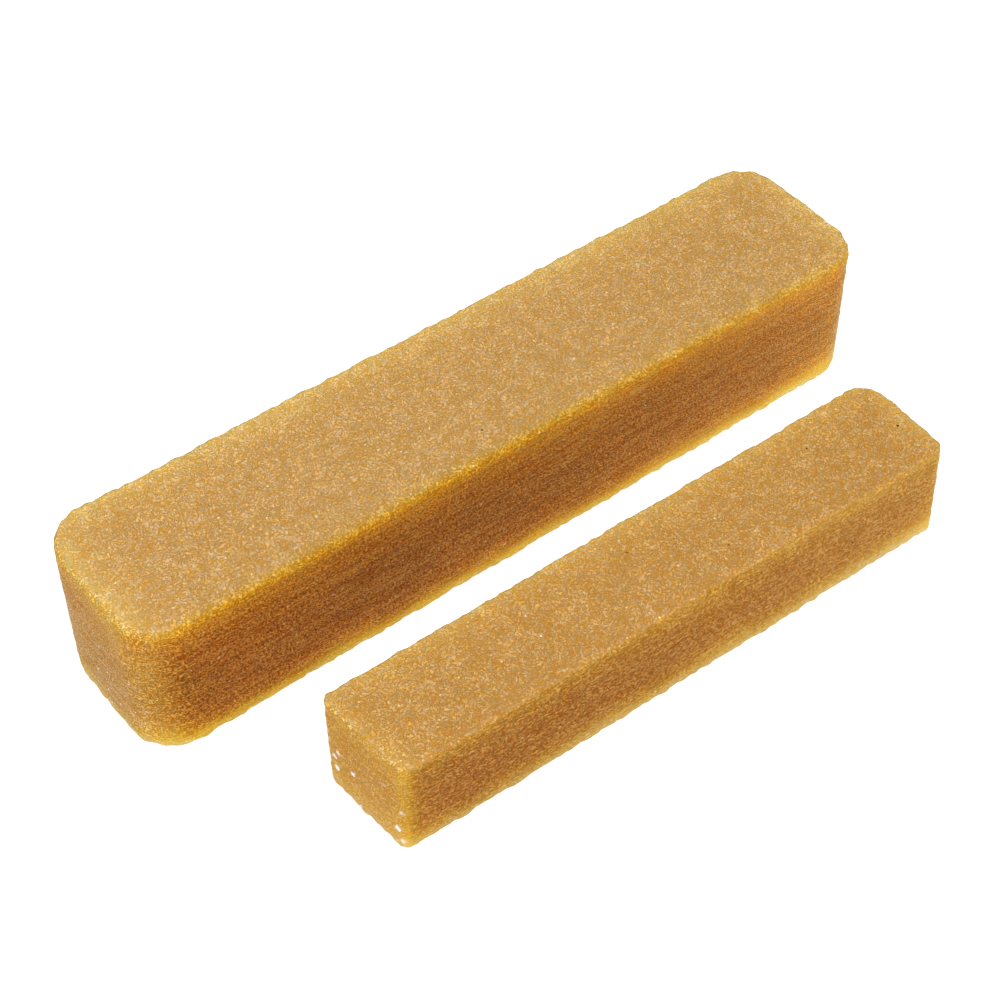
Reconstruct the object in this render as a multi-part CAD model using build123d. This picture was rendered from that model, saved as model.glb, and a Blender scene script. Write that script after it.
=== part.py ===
from build123d import *
import os

# A pair of crepe-rubber sticks for cleaning abrasive belts and discs.
# Each stick is one solid block of rubber, cut to length from a slab, with nothing inside it.
# Frame: +X along the sticks, +Z up, origin under the middle of the pair on the surface they lie on.

# Large stick, in millimetres
LARGE_LENGTH = 200.0
LARGE_WIDTH = 42.0
LARGE_HEIGHT = 37.0
LARGE_CORNER_RADIUS = 10.0  # upright corners, as the slab's rounded end leaves them
LARGE_RIM_RADIUS = 1.8  # soft edge round the top and the bottom

# Small stick, in millimetres
SMALL_LENGTH = 150.0
SMALL_WIDTH = 27.0
SMALL_HEIGHT = 27.0
SMALL_CORNER_RADIUS = 3.0
SMALL_RIM_RADIUS = 1.2

# How the small stick lies beside the large one
GAP = 24.3  # clear space between the two long sides, in millimetres
SMALL_SHIFT = 1.3  # along X, in millimetres
SMALL_TURN = -0.7  # about Z, in degrees


def rubber_stick(length, width, height, corner_radius, rim_radius):
    """A rubber block that stands on z = 0 over the origin, with rounded corners and soft rims."""
    block = extrude(RectangleRounded(length, width, corner_radius), height)
    levels = block.edges().group_by(Axis.Z)
    return fillet(levels[0] + levels[-1], rim_radius)


def small_stick_place():
    """Where the small stick lies when the large stick is over the origin."""
    spacing = LARGE_WIDTH / 2 + GAP + SMALL_WIDTH / 2
    return Pos(SMALL_SHIFT, -spacing, 0) * Rot(0, 0, SMALL_TURN)


large_stick = rubber_stick(
    LARGE_LENGTH, LARGE_WIDTH, LARGE_HEIGHT, LARGE_CORNER_RADIUS, LARGE_RIM_RADIUS
)
small_stick = small_stick_place() * rubber_stick(
    SMALL_LENGTH, SMALL_WIDTH, SMALL_HEIGHT, SMALL_CORNER_RADIUS, SMALL_RIM_RADIUS
)

# The pair is moved so that the origin is the middle of its footprint.
footprint_middle = Compound([large_stick, small_stick]).bounding_box().center()
to_origin = Pos(-footprint_middle.X, -footprint_middle.Y, 0)

nodes = {
    "large_stick": to_origin * large_stick,
    "small_stick": to_origin * small_stick,
}

os.makedirs("parts", exist_ok=True)
for name, solid in nodes.items():
    export_step(solid, f"parts/{name}.step")
    box = solid.bounding_box()
    print(name, "centre", box.center(), "size", box.size)
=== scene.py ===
import itertools
import math

import bpy
import numpy as np
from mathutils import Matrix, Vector


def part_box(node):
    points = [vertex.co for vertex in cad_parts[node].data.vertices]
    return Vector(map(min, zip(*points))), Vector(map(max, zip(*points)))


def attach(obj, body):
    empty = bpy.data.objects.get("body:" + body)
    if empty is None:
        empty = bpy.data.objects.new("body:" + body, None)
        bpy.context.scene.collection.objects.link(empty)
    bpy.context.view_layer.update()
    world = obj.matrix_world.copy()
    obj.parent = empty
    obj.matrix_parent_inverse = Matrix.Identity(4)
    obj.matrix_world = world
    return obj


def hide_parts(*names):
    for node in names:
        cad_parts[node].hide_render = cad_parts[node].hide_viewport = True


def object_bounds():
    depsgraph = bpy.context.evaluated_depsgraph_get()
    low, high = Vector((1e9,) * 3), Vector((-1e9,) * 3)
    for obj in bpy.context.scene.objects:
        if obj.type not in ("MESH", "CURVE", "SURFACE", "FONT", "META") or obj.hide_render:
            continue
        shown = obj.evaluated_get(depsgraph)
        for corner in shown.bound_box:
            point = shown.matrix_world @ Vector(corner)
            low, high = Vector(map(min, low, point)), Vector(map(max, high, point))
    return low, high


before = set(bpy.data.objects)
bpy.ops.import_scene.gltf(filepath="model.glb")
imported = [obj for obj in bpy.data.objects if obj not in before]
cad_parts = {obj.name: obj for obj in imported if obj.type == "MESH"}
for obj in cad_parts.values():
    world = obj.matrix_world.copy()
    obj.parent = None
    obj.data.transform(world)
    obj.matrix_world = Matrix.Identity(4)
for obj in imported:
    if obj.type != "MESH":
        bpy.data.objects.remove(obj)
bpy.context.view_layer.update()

MM = 0.001

# ---------------------------------------------------------------- the sticks

SMALL_TURN = math.radians(-0.7)  # the small stick lies a little askew of the large one
STICK_QUADS = 98_000  # per stick, before triangles

# Values for the four upright corners run front left, front right, back right, back left.
# lean_top and lean_bottom move the top and bottom corners off a true block, in X and Y, because
# the sticks are sawn by hand and no face is quite square. top_rims are the front and the back one.
# Tones run from crease through middle to crest: painted shade in the creases, painted sheen on the
# crests, over the grain; the beige tones carry the painted sheen. Glow gains and reaches are red,
# green, blue, for painted light through the edges.
LARGE = dict(
    node="large_stick",
    slot="large_rubber",
    turn=0.0,
    size=(200.0, 41.8, 36.8),
    corner_radii=(10.6, 9.8, 10.0, 10.0),
    end_crown=0.6,
    top_rims=(1.7, 0.6),
    bottom_rim=1.8,
    lean_top=((0.0, 0.3), (-0.7, -0.5), (-0.7, -0.1), (0.8, 0.4)),
    lean_bottom=((0.1, 0.2), (-0.3, 0.2), (0.0, 0.0), (0.5, -1.3)),
    seed=11,
    amber=((120, 57, 0), (159, 94, 7), (204, 145, 62)),
    beige=((188, 137, 60), (201, 156, 86), (212, 172, 116)),
    speck_cell=24.0,
    fleck_glint_cell=3.0,
    fleck_glint_radius=0.34,
    scuff_and_sheen=0.45,
    sheenless_rim=0.95,
    right_end_sheen=0.12,
    end_sheen=0.50,
    glow=dict(
        top_gain=(0.62, 1.00, -0.15),
        top_reach=(8.5, 4.9, 4.0),
        floor_gain=(0.66, 2.4, 8.0),
        floor_reach=(6.2, 3.9, 1.6),
        upright_gain=(0.31, 0.64, 0.85),
        upright_reach=(8.0, 6.3, 2.5),
        tilt=(0.18, 0.27, 0.36),
        sheenless_rim_gain=(0.23, 0.56, 0.0),
        end_gain=(0.14, 0.19, -0.20),
        rim_gain=(0.22, 0.45, 0.40),
        rim_reach=(7.0, 4.5, 3.0),
    ),
)
SMALL = dict(
    node="small_stick",
    slot="small_rubber",
    turn=SMALL_TURN,
    size=(150.0, 26.8, 26.9),
    corner_radii=(2.3, 3.4, 6.0, 2.4),
    end_crown=0.3,
    top_rims=(0.9, 0.6),
    bottom_rim=1.0,
    lean_top=((1.2, 0.3), (-0.7, 0.1), (-0.2, 0.1), (-1.0, -0.2)),
    lean_bottom=((1.3, 0.8), (0.7, 0.1), (0.1, 0.0), (-0.2, -0.3)),
    seed=23,
    amber=((133, 73, 2), (162, 103, 20), (191, 138, 62)),
    beige=((185, 130, 52), (195, 146, 74), (206, 163, 102)),
    speck_cell=9.0,
    fleck_glint_cell=4.4,
    fleck_glint_radius=1.1,
    scuff_and_sheen=0.16,
    sheenless_rim=0.0,
    right_end_sheen=0.2,
    end_sheen=0.50,
    glow=dict(
        top_gain=(0.30, 0.66, 0.60),
        top_reach=(6.5, 4.3, 2.0),
        floor_gain=(0.38, 1.35, 6.0),
        floor_reach=(6.5, 4.4, 2.2),
        upright_gain=(0.38, 0.98, 0.50),
        upright_reach=(6.0, 3.4, 1.5),
        tilt=(0.08, 0.15, 0.20),
        sheenless_rim_gain=(0.0, 0.0, 0.0),
        end_gain=(0.25, 0.33, -0.16),
        rim_gain=(0.20, 0.40, 0.50),
        rim_reach=(4.0, 3.0, 1.6),
    ),
)


# ---------------------------------------------------------------- noise

NOISE_GAIN = 1.6  # brings the gradient noise to about -1 to 1
BILLOW_GAIN = 1.8  # brings most billows up to 1


def smooth_noise(points, cell, seed):
    """Gradient noise of about -1 to 1 at each point. cell is its grain size, or one size per axis."""
    rng = np.random.default_rng(seed)
    table = np.tile(rng.permutation(256), 2)
    slopes = rng.normal(size=(256, 3))
    slopes /= np.linalg.norm(slopes, axis=1)[:, None]
    scaled = points / np.asarray(cell, float)
    base = np.floor(scaled).astype(int)
    part = scaled - base
    ease = part ** 3 * (part * (part * 6 - 15) + 10)
    total = np.zeros(len(points))
    for corner in itertools.product((0, 1), repeat=3):
        node = (base + corner) & 255
        pick = table[table[table[node[:, 0]] + node[:, 1]] + node[:, 2]]
        weight = np.prod(np.where(corner, ease, 1 - ease), axis=1)
        total += weight * np.einsum("ij,ij->i", slopes[pick], part - corner)
    return total * NOISE_GAIN


def billows(points, cell, seed):
    """Puffed bumps with narrow creases between them, from 0 in a crease to about 1 on a bump."""
    return np.minimum(np.abs(smooth_noise(points, cell, seed)) * BILLOW_GAIN, 1.0)


# ---------------------------------------------------------------- the stick's shape

def block_lattice(size, quads):
    """An even grid over a plain block's surface, centred in plan and standing on z = 0."""
    length, width, height = size
    area = 2 * (length * width + length * height + width * height)
    step = math.sqrt(area / quads)
    counts = [max(2, round(s / step)) for s in size]
    index = np.full([c + 1 for c in counts], -1)
    inside = np.zeros(index.shape, bool)
    inside[1:-1, 1:-1, 1:-1] = True
    index[~inside] = np.arange(np.count_nonzero(~inside))
    cells = np.argwhere(~inside)
    points = cells / counts * size - np.array([length / 2, width / 2, 0.0])
    faces = []
    for axis in range(3):
        for end in (0, -1):
            sheet = np.take(index, end, axis=axis)
            quad = [sheet[:-1, :-1], sheet[1:, :-1], sheet[1:, 1:], sheet[:-1, 1:]]
            quad = np.stack(quad, axis=-1).reshape(-1, 4)
            outward = (end == -1) != (axis == 1)
            faces.append(quad if outward else quad[:, ::-1])
    return points, np.concatenate(faces)


def corner_of(points):
    """Which of the four upright corners each point is nearest to, in the order used above."""
    right = points[:, 0] > 0
    back = points[:, 1] > 0
    return np.where(back, np.where(right, 2, 3), np.where(right, 1, 0))


def round_upright_corners(points, size, radii):
    """Bends the square plan so that each upright corner is an arc of its own radius."""
    half = np.array(size[:2]) / 2
    radius = np.array(radii)[corner_of(points)][:, None]
    sign = np.where(points[:, :2] < 0, -1, 1)
    past = np.clip((np.abs(points[:, :2]) - (half - radius)) / radius, 0, 1)
    bent = past * np.sqrt(1 - past[:, ::-1] ** 2 / 2)
    flat = np.minimum(np.abs(points[:, :2]), half - radius)
    out = points.copy()
    out[:, :2] = sign * (flat + bent * radius)
    return out


def round_rims(points, size, radii, top_rims, bottom_rim):
    """Rolls the top and bottom rims to their radii. Returns the points and outward normals."""
    height = size[2]
    top_rim = np.interp(points[:, 1], (-size[1] / 2, size[1] / 2), top_rims)
    rim = np.where(points[:, 2] > height / 2, top_rim, bottom_rim)[:, None]
    radius = np.array(radii)[corner_of(points)][:, None]
    half = np.array(size[:2]) / 2
    centre = np.clip(points[:, :2], radius - half, half - radius)
    arm = points[:, :2] - centre
    reach = np.linalg.norm(arm, axis=1)[:, None]
    keep = np.minimum(reach, radius - rim)
    core = points.copy()
    core[:, :2] = centre + arm / np.maximum(reach, 1e-9) * keep
    core[:, 2] = np.clip(points[:, 2], rim[:, 0], height - rim[:, 0])
    normals = points - core
    normals /= np.linalg.norm(normals, axis=1)[:, None]
    return core + normals * rim, normals


def lean(points, size, lean_top, lean_bottom, end_crown):
    """Moves the block's corners a little and crowns its ends."""
    along = points[:, 0] / size[0] + 0.5
    across = points[:, 1] / size[1] + 0.5
    up = points[:, 2] / size[2]
    plan = [(1 - along) * (1 - across), along * (1 - across), along * across, (1 - along) * across]
    out = points.copy()
    for weight, top, bottom in zip(plan, lean_top, lean_bottom):
        out[:, :2] += (weight * up)[:, None] * np.array(top)
        out[:, :2] += (weight * (1 - up))[:, None] * np.array(bottom)
    out[:, 0] += end_crown * (2 * along - 1) ** 5 * (1 - (2 * across - 1) ** 2)
    return out


def skin_height(points, normals, seed):
    """How far the rubber's skin stands out from the smooth block at each point."""
    upward = np.abs(normals[:, 2])
    endward = np.abs(normals[:, 0]) * (1 - upward)
    sideward = np.abs(normals[:, 1]) * (1 - upward)
    rim = np.clip(4 * upward * (1 - upward), 0, 1)
    waves = 0.16 * smooth_noise(points, 34.0, seed)
    dents = 0.07 * smooth_noise(points, 9.0, seed + 1)
    broad_scallops = 0.26 * smooth_noise(points, 6.5, seed + 2)
    fine_scallops = 0.38 * smooth_noise(points, 2.1, seed + 3)
    scallops = rim * (broad_scallops + fine_scallops)
    grain = 0.10 * billows(points, 1.9, seed + 4) - 0.05
    side_streaks = sideward * 0.13 * smooth_noise(points, (9.0, 3.0, 1.5), seed + 5)
    end_streaks = endward * 0.16 * smooth_noise(points, (3.0, 7.0, 1.7), seed + 6)
    return waves + dents + scallops + grain + side_streaks + end_streaks


# ---------------------------------------------------------------- what is painted on the stick

def fade(distance, reach, power=1.0):
    """Falls from 1 at an edge to 0 away from it, at its own rate in red, green and blue."""
    return np.exp(-((distance[:, None] / np.array(reach)) ** power))


def sheenless_rim(points, size, spec):
    """How far the painted sheen is left off the top along its front rim, where the rim turns away from
    the light: most on the left half.
    """
    from_front = points[:, 1] + size[1] / 2
    rightward = np.clip(points[:, 0] / size[0] * 2, 0, 1)
    return spec["sheenless_rim"] * (1 - 0.55 * rightward) * np.exp(-((from_front / 2.0) ** 2))


def edge_lift(points, normals, size, spec):
    """How much brighter the rubber is painted where light comes through an edge, and up from the table
    through the bottom: red goes deepest.
    """
    wobble = 1 + 0.30 * smooth_noise(points, 16.0, spec["seed"] + 7)
    half = np.array(size[:2]) / 2
    from_ends = half[0] - np.abs(points[:, 0])
    from_back = half[1] - points[:, 1]
    from_upright = np.maximum(from_ends, half[1] - np.abs(points[:, 1])) * wobble
    from_far_rims = np.minimum(from_ends, from_back) * wobble
    from_top = (size[2] - points[:, 2]) * wobble
    from_floor = points[:, 2] * wobble
    glow = spec["glow"]
    top_glow = np.array(glow["top_gain"]) * fade(from_top, glow["top_reach"])
    upright_glow = np.array(glow["upright_gain"]) * fade(from_upright, glow["upright_reach"])
    wall = np.maximum(top_glow, upright_glow)
    wall += np.array(glow["floor_gain"]) * fade(from_floor, glow["floor_reach"], 1.5)
    # painted light that grows along the walls from the left end to the right
    wall += np.array(glow["tilt"]) * points[:, :1] / half[0]
    rim = np.array(glow["rim_gain"]) * fade(from_far_rims, glow["rim_reach"])
    # painted glow along the front top rim, where the painted sheen is left off
    rim += np.array(glow["sheenless_rim_gain"]) * sheenless_rim(points, size, spec)[:, None]
    upward = np.clip(normals[:, 2:], 0, 1)
    downward = np.clip(-normals[:, 2:], 0, 1)
    ends = np.abs(normals[:, :1]) * (1 - upward)
    facing = (1 - upward) ** np.array((1.6, 1.2, 1.0)) * (1 - downward ** 2)
    return 1 + wall * facing * (1 - 0.6 * ends) + np.array(glow["end_gain"]) * ends + rim * upward


def clearness(lift):
    """How far the light coming through an edge hides the grain there."""
    return np.clip((lift[:, 1] - 1) * 0.6, 0.0, 0.7)


def painted_sheen_amount(points, normals, size, spec):
    """Where the beige painted sheen lies: on top and on the ends, thin on the long sides, and more
    towards the right end of the walls.
    """
    upward = np.clip(normals[:, 2], 0, 1) ** 2
    ends = np.clip(np.abs(normals[:, 0]) * 1.25 - 0.25, 0, 1)
    patches = 0.10 * smooth_noise(points, 11.0, spec["seed"] + 8)
    pale = np.clip(points[:, 0] / size[0] * 2, 0, 1) * spec["right_end_sheen"]
    walls = pale + (spec["end_sheen"] - pale) * ends + patches * (0.3 + ends)
    return np.clip(upward * (1 - sheenless_rim(points, size, spec)) + (1 - upward) * walls, 0, 1)


def low_left_end(points, normals, size):
    """The left end, low down, where the rubber has pale scratches under a painted sheen and white
    flecks with painted glints.
    """
    left = np.clip(-normals[:, 0], 0, 1) ** 6
    low = np.clip((0.75 - points[:, 2] / size[2]) * 3, 0, 1)
    return left * low


# ---------------------------------------------------------------- the stick's mesh

def set_down(points, spec):
    """Turns the finished stick and stands it where its CAD block is, in metres."""
    low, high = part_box(spec["node"])
    middle = (Vector(low) + Vector(high)) / 2 / MM
    cos, sin = math.cos(spec["turn"]), math.sin(spec["turn"])
    turn = np.array([[cos, sin, 0], [-sin, cos, 0], [0, 0, 1]])
    return (points @ turn + np.array([middle.x, middle.y, 0.0])) * MM


def set_attribute(mesh, name, values):
    """Stores one number or one vector per point, for the material to read."""
    kind = "FLOAT_VECTOR" if values.ndim == 2 else "FLOAT"
    attribute = mesh.attributes.new(name, kind, "POINT")
    key = "vector" if values.ndim == 2 else "value"
    attribute.data.foreach_set(key, values.astype(np.float32).ravel())


def make_stick(spec):
    """The rubber stick that stands for one CAD block, with its surface painted into attributes."""
    size = spec["size"]
    radii = spec["corner_radii"]
    points, faces = block_lattice(size, STICK_QUADS)
    points = round_upright_corners(points, size, radii)
    local, normals = round_rims(points, size, radii, spec["top_rims"], spec["bottom_rim"])
    raised = local + normals * skin_height(local, normals, spec["seed"])[:, None]
    shaped = lean(raised, size, spec["lean_top"], spec["lean_bottom"], spec["end_crown"])
    shaped[:, 2] = np.maximum(shaped[:, 2], 0.0)

    mesh = bpy.data.meshes.new(spec["node"] + "_rubber")
    mesh.from_pydata(set_down(shaped, spec).tolist(), [], faces.tolist())
    mesh.polygons.foreach_set("use_smooth", np.ones(len(faces), bool))
    lift = edge_lift(local, normals, size, spec)
    facing_end = (np.abs(normals[:, 0]) > np.abs(normals[:, 1])).astype(float)
    set_attribute(mesh, "local_mm", local)
    set_attribute(mesh, "top_face", np.clip(normals[:, 2], 0, 1))
    set_attribute(mesh, "end_face", facing_end)
    set_attribute(mesh, "lift", lift)
    set_attribute(mesh, "clear", clearness(lift))
    set_attribute(mesh, "painted_sheen", painted_sheen_amount(local, normals, size, spec))
    set_attribute(mesh, "low_left", low_left_end(local, normals, size))
    mesh.update()
    stick = bpy.data.objects.new(spec["node"] + "_rubber", mesh)
    bpy.context.scene.collection.objects.link(stick)
    return stick


# ---------------------------------------------------------------- the rubber's material

WHITE = (1.0, 1.0, 1.0, 1.0)
HALF = (0.5, 0.5, 0.5, 1.0)
WARM_PATCH = (1.05, 0.965, 0.68, 1.0)
COOL_PATCH = (0.96, 1.03, 1.32, 1.0)
BRIGHTEST = (0.88, 0.62, 0.40)
FLECK_GLINT_WHITE = (1.0, 1.0, 0.98, 1.0)
SPARKLE_CELL, SPARKLE_RADIUS = 3.4, 0.27
GLINT_DASH_CELL, GLINT_DASH_RADIUS = 2.1, 0.24
SPECK_RADIUS = 0.38
BUMP_DEPTH = 0.26 * MM
GLOW_DEPTH = 6.0 * MM


class Nodes:
    """Short calls for building a node tree."""

    def __init__(self, material):
        material.use_nodes = True
        self.tree = material.node_tree
        self.tree.nodes.clear()

    def add(self, kind, **settings):
        node = self.tree.nodes.new(kind)
        for key, value in settings.items():
            setattr(node, key, value)
        return node

    def put(self, socket, value):
        if isinstance(value, bpy.types.NodeSocket):
            self.tree.links.new(value, socket)
        else:
            socket.default_value = value

    def attribute(self, name, vector=False):
        node = self.add("ShaderNodeAttribute", attribute_name=name)
        return node.outputs["Vector" if vector else "Fac"]

    def math(self, operation, *values):
        node = self.add("ShaderNodeMath", operation=operation)
        for socket, value in zip(node.inputs, values):
            self.put(socket, value)
        return node.outputs[0]

    def vector_math(self, operation, first, second):
        node = self.add("ShaderNodeVectorMath", operation=operation)
        self.put(node.inputs[0], first)
        self.put(node.inputs[1], second)
        return node.outputs[0]

    def times(self, vector, scale):
        return self.vector_math("MULTIPLY", vector, scale)

    def weigh(self, *terms):
        """The sum of each value times its weight."""
        total = 0.0
        for value, weight in terms:
            total = self.math("MULTIPLY_ADD", value, weight, total)
        return total

    def noise(self, vector, scale, detail=2.0, roughness=0.5, distortion=0.0, output=0):
        node = self.add("ShaderNodeTexNoise")
        self.put(node.inputs["Vector"], vector)
        self.put(node.inputs["Scale"], scale)
        self.put(node.inputs["Detail"], detail)
        self.put(node.inputs["Roughness"], roughness)
        self.put(node.inputs["Distortion"], distortion)
        return node.outputs[output]

    def ramp(self, value, low, high, to_low=0.0, to_high=1.0):
        """Maps low..high to to_low..to_high, smoothly, and holds the ends."""
        node = self.add("ShaderNodeMapRange", interpolation_type="SMOOTHSTEP")
        for socket, number in zip(node.inputs, (value, low, high, to_low, to_high)):
            self.put(socket, number)
        return node.outputs[0]

    def spots(self, vector, cell, radius):
        """Scattered round spots, one to a cell: 1 inside them, 0 elsewhere."""
        node = self.add("ShaderNodeTexVoronoi")
        self.put(node.inputs["Vector"], vector)
        self.put(node.inputs["Scale"], 1 / cell)
        return self.ramp(node.outputs["Distance"], radius / cell, radius / cell * 0.5)

    def mix(self, amount, first, second):
        node = self.add("ShaderNodeMix", data_type="RGBA")
        self.put(node.inputs[0], amount)
        self.put(node.inputs[6], first)
        self.put(node.inputs[7], second)
        return node.outputs[2]

    def finish(self, shader):
        output = self.add("ShaderNodeOutputMaterial")
        self.put(output.inputs["Surface"], shader.outputs[0])


def srgb(red, green, blue):
    """A screen colour, 0 to 255, as Blender's linear RGBA."""
    out = []
    for value in (red, green, blue):
        v = value / 255
        out.append(v / 12.92 if v <= 0.04045 else ((v + 0.055) / 1.055) ** 2.4)
    return (*out, 1.0)


def three_tones(n, relief, tones):
    """Colour from crease to crest: painted shade in the creases and painted sheen on the crests, over
    the grain.
    """
    deep, middle, crest = (srgb(*tone) for tone in tones)
    lower = n.mix(n.ramp(relief, 0.0, 0.5), deep, middle)
    return n.mix(n.ramp(relief, 0.5, 1.0), lower, crest)


def mean_tone(tones):
    """The three tones' average, which is what grain too soft to see leaves behind."""
    deep, middle, crest = (np.array(srgb(*tone)) for tone in tones)
    return tuple((deep + 2 * middle + crest) / 4)


def top_grain(n, place, grit):
    """The top's crepe: soft puffs half a millimetre across, and folds between groups of them."""
    puffs = n.times(place, (1.2, 1.0, 1.0))
    puffs = n.noise(puffs, 1.85, detail=3.0, roughness=0.62, distortion=0.9)
    puffs = n.ramp(puffs, 0.32, 0.68)
    clump = n.ramp(n.noise(place, 0.28, detail=2.0), 0.32, 0.68)
    fold = n.noise(place, 0.34, detail=2.0, distortion=1.6)
    folds = n.ramp(n.math("ABSOLUTE", n.math("SUBTRACT", fold, 0.5)), 0.0, 0.035)
    return n.weigh((puffs, 0.52), (grit, 0.22), (clump, 0.12), (folds, 0.14))


def drawn_out(n, place, end, along_side, along_end, scale, **settings):
    """Noise that is stretched one way on the long sides and another way on the ends."""
    side_noise = n.noise(n.times(place, along_side), scale, **settings)
    end_noise = n.noise(n.times(place, along_end), scale, **settings)
    return n.mix(end, side_noise, end_noise)


def rubber(spec):
    """Amber crepe rubber: puffed grain under a painted beige sheen on top, fine granular streaks on the
    sawn sides.
    """
    material = bpy.data.materials.new(spec["slot"] + "_look")
    n = Nodes(material)
    place = n.attribute("local_mm", vector=True)
    top = n.attribute("top_face")
    end = n.attribute("end_face")
    lift = n.attribute("lift", vector=True)
    painted_sheen = n.attribute("painted_sheen")
    clear = n.attribute("clear")
    low_left = n.attribute("low_left")

    # relief: crisp granules and long thin saw marks on the walls, crepe on top
    grit = n.ramp(n.noise(place, 3.2, detail=1.5), 0.3, 0.7)
    granules = drawn_out(
        n, place, end, (0.75, 1.0, 1.4), (1.0, 0.75, 1.4), 2.35,
        detail=2.5, roughness=0.7, distortion=0.4,
    )
    granules = n.ramp(granules, 0.34, 0.66)
    saw_marks = drawn_out(
        n, place, end, (0.10, 0.6, 1.9), (0.6, 0.12, 1.9), 1.0,
        detail=3.0, roughness=0.6, distortion=0.15,
    )
    saw_marks = n.ramp(saw_marks, 0.36, 0.64)
    wall_relief = n.weigh((granules, 0.64), (grit, 0.18), (saw_marks, 0.18))
    relief = n.ramp(n.mix(top, wall_relief, top_grain(n, place, grit)), 0.18, 0.82)
    relief = n.mix(end, relief, n.ramp(relief, 0.29, 0.86))

    # the rubber's colour, with its painted sheen, its painted glow near the edges and faint warm
    # patches
    amber = n.mix(clear, three_tones(n, relief, spec["amber"]), mean_tone(spec["amber"]))
    beige = n.mix(clear, three_tones(n, relief, spec["beige"]), mean_tone(spec["beige"]))
    patches = n.ramp(n.noise(place, 0.6, detail=2.5, roughness=0.6), 0.3, 0.7)
    hue = n.mix(patches, WARM_PATCH, COOL_PATCH)
    end_contrast = n.mix(end, WHITE, n.ramp(grit, 0.0, 1.0, 0.82, 1.16))
    base = n.times(n.times(n.mix(painted_sheen, amber, beige), lift), hue)
    base = n.times(base, end_contrast)
    base = n.vector_math("MINIMUM", base, BRIGHTEST)

    # what is painted on it: painted glints as sparkles and as light dashes on the walls, pale scratches
    # with painted sheen and white flecks with painted glints low on the left end, dark specks
    sparkle = n.spots(place, SPARKLE_CELL, SPARKLE_RADIUS)
    sparkle = n.math("MULTIPLY", sparkle, n.math("MULTIPLY_ADD", top, 0.6, 0.4))
    glint_dashes = n.spots(n.times(place, (0.42, 0.42, 1.0)), GLINT_DASH_CELL, GLINT_DASH_RADIUS)
    glint_dashes = n.math("MULTIPLY", glint_dashes, n.math("MULTIPLY_ADD", top, -0.6, 0.6))
    # painted sheen of the table with pale scratches in it, low on the left end
    scuffs_and_sheen = n.ramp(saw_marks, 0.5, 0.95, 0.0, spec["scuff_and_sheen"])
    scuffs_and_sheen = n.math("MULTIPLY", n.math("MULTIPLY", scuffs_and_sheen, granules), low_left)
    # white flecks with painted glints on them, low on the left end
    ragged = n.vector_math("ADD", place, n.noise(place, 1.4, detail=2.0, output="Color"))
    flecks_and_glints = n.math("MULTIPLY", n.spots(ragged, spec["fleck_glint_cell"], spec["fleck_glint_radius"]), low_left)
    base = n.mix(sparkle, base, srgb(255, 232, 178))
    base = n.mix(glint_dashes, base, srgb(236, 192, 122))
    base = n.mix(scuffs_and_sheen, base, srgb(226, 212, 196))
    base = n.mix(flecks_and_glints, base, FLECK_GLINT_WHITE)
    base = n.mix(n.spots(place, spec["speck_cell"], SPECK_RADIUS), base, srgb(58, 34, 14))

    bump = n.add("ShaderNodeBump")
    bump.inputs["Strength"].default_value = 1.0
    bump.inputs["Distance"].default_value = BUMP_DEPTH
    n.put(bump.inputs["Height"], n.mix(clear, relief, HALF))

    shader = n.add("ShaderNodeBsdfPrincipled")
    n.put(shader.inputs["Base Color"], base)
    n.put(shader.inputs["Roughness"], n.ramp(relief, 0.0, 1.0, 0.52, 0.34))
    n.put(shader.inputs["Normal"], bump.outputs[0])
    shader.inputs["Specular IOR Level"].default_value = 0.04
    shader.inputs["Subsurface Weight"].default_value = 0.15
    shader.inputs["Subsurface Radius"].default_value = (1.0, 0.45, 0.10)
    shader.inputs["Subsurface Scale"].default_value = GLOW_DEPTH
    shader.inputs["IOR"].default_value = 1.5
    n.finish(shader)
    return material


# ---------------------------------------------------------------- table, lights and camera

TABLE_HALF = 3.0
CAMERA_AIM = Vector((3.1, 21.4, 0.0)) * MM
CAMERA_DISTANCE = 538.4 * MM
CAMERA_AZIMUTH = math.radians(-38.1)  # 0 looks along +Y
CAMERA_ELEVATION = math.radians(46.9)
CAMERA_LENS = 83.3  # mm, on a 36 mm sensor


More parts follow.
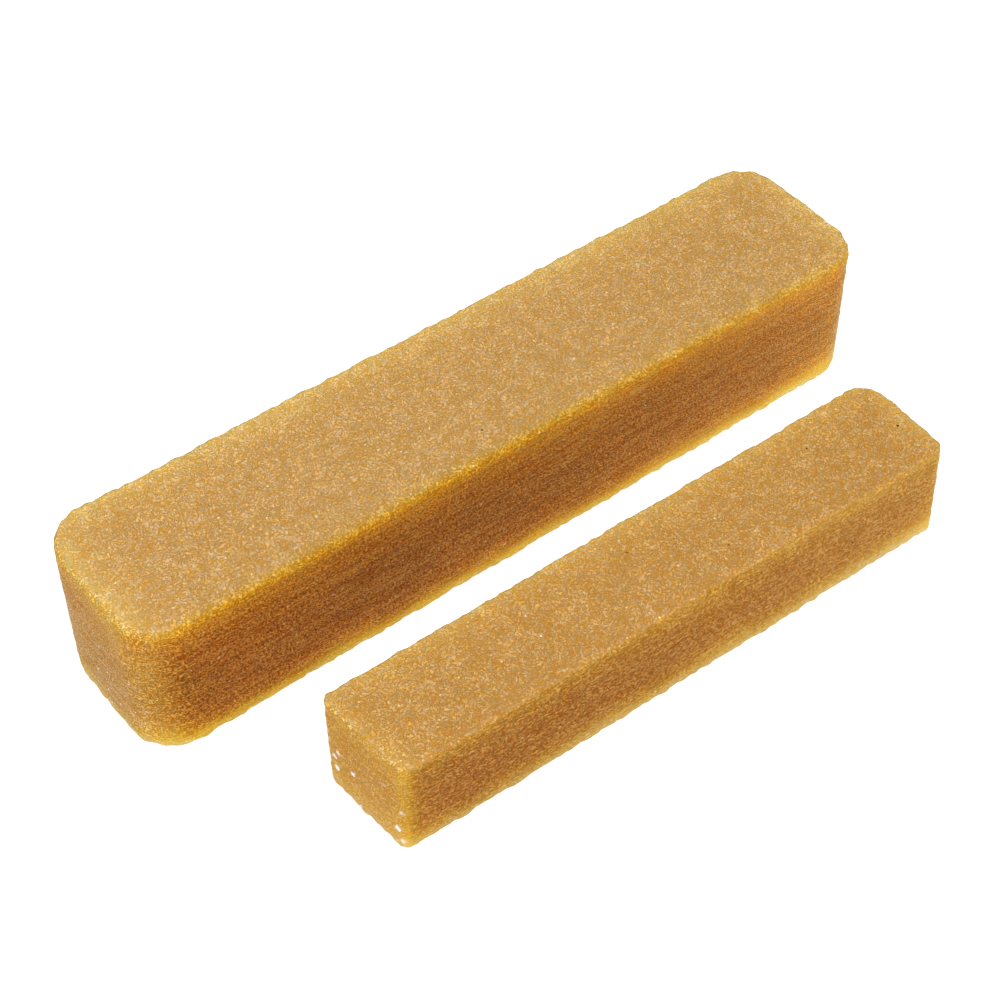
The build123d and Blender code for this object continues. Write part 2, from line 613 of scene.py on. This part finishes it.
def table_top():
    """The white table under the sticks."""
    low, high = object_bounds()
    centre = (low + high) / 2
    signs = [(-1, -1), (1, -1), (1, 1), (-1, 1)]
    corners = [(centre.x + x * TABLE_HALF, centre.y + y * TABLE_HALF, 0.0) for x, y in signs]
    mesh = bpy.data.meshes.new("table")
    mesh.from_pydata(corners, [], [(0, 1, 2, 3)])
    floor = bpy.data.objects.new("table", mesh)
    bpy.context.scene.collection.objects.link(floor)
    material = bpy.data.materials.new("table")
    n = Nodes(material)
    shader = n.add("ShaderNodeBsdfPrincipled")
    shader.inputs["Base Color"].default_value = (0.55, 0.55, 0.55, 1)
    shader.inputs["Roughness"].default_value = 0.7
    shader.inputs["Specular IOR Level"].default_value = 0.2
    shader.inputs["Emission Color"].default_value = (1, 1, 1, 1)
    shader.inputs["Emission Strength"].default_value = 0.72
    n.finish(shader)
    mesh.materials.append(material)


def soft_box(name, place, side, power):
    """A square soft light that faces the sticks."""
    light = bpy.data.lights.new(name, "AREA")
    light.shape = "RECTANGLE"
    light.size = side
    light.size_y = side
    light.energy = power
    lamp = bpy.data.objects.new(name, light)
    lamp.location = place
    lamp.rotation_mode = "QUATERNION"
    lamp.rotation_quaternion = (-Vector(place)).to_track_quat("-Z", "Y")
    bpy.context.scene.collection.objects.link(lamp)


def studio():
    """A white room with a large soft light overhead, a little in front, and a small one to the left."""
    world = bpy.data.worlds.new("studio")
    world.use_nodes = True
    background = world.node_tree.nodes["Background"]
    background.inputs["Color"].default_value = (1, 1, 1, 1)
    background.inputs["Strength"].default_value = 0.30
    bpy.context.scene.world = world
    soft_box("overhead", (-0.10, -0.42, 0.90), 0.7, 12.6)
    soft_box("left", (-0.9, 0.15, 0.6), 0.5, 2.5)


def camera():
    """Looks down on the sticks from the front left."""
    data = bpy.data.cameras.new("camera")
    data.lens = CAMERA_LENS
    data.sensor_width = 36.0
    data.clip_start = 0.01
    shot = bpy.data.objects.new("camera", data)
    level = math.cos(CAMERA_ELEVATION)
    back = Vector((
        math.sin(CAMERA_AZIMUTH) * level,
        -math.cos(CAMERA_AZIMUTH) * level,
        math.sin(CAMERA_ELEVATION),
    ))
    shot.location = CAMERA_AIM + back * CAMERA_DISTANCE
    shot.rotation_mode = "QUATERNION"
    shot.rotation_quaternion = (-back).to_track_quat("-Z", "Y")
    bpy.context.scene.collection.objects.link(shot)
    bpy.context.scene.camera = shot


# ---------------------------------------------------------------- the scene

for spec in (LARGE, SMALL):
    stick = make_stick(spec)
    stick.data.materials.append(rubber(spec))
    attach(stick, spec["node"])
    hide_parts(spec["node"])

table_top()
studio()
camera()
bpy.context.scene.view_settings.view_transform = "Standard"
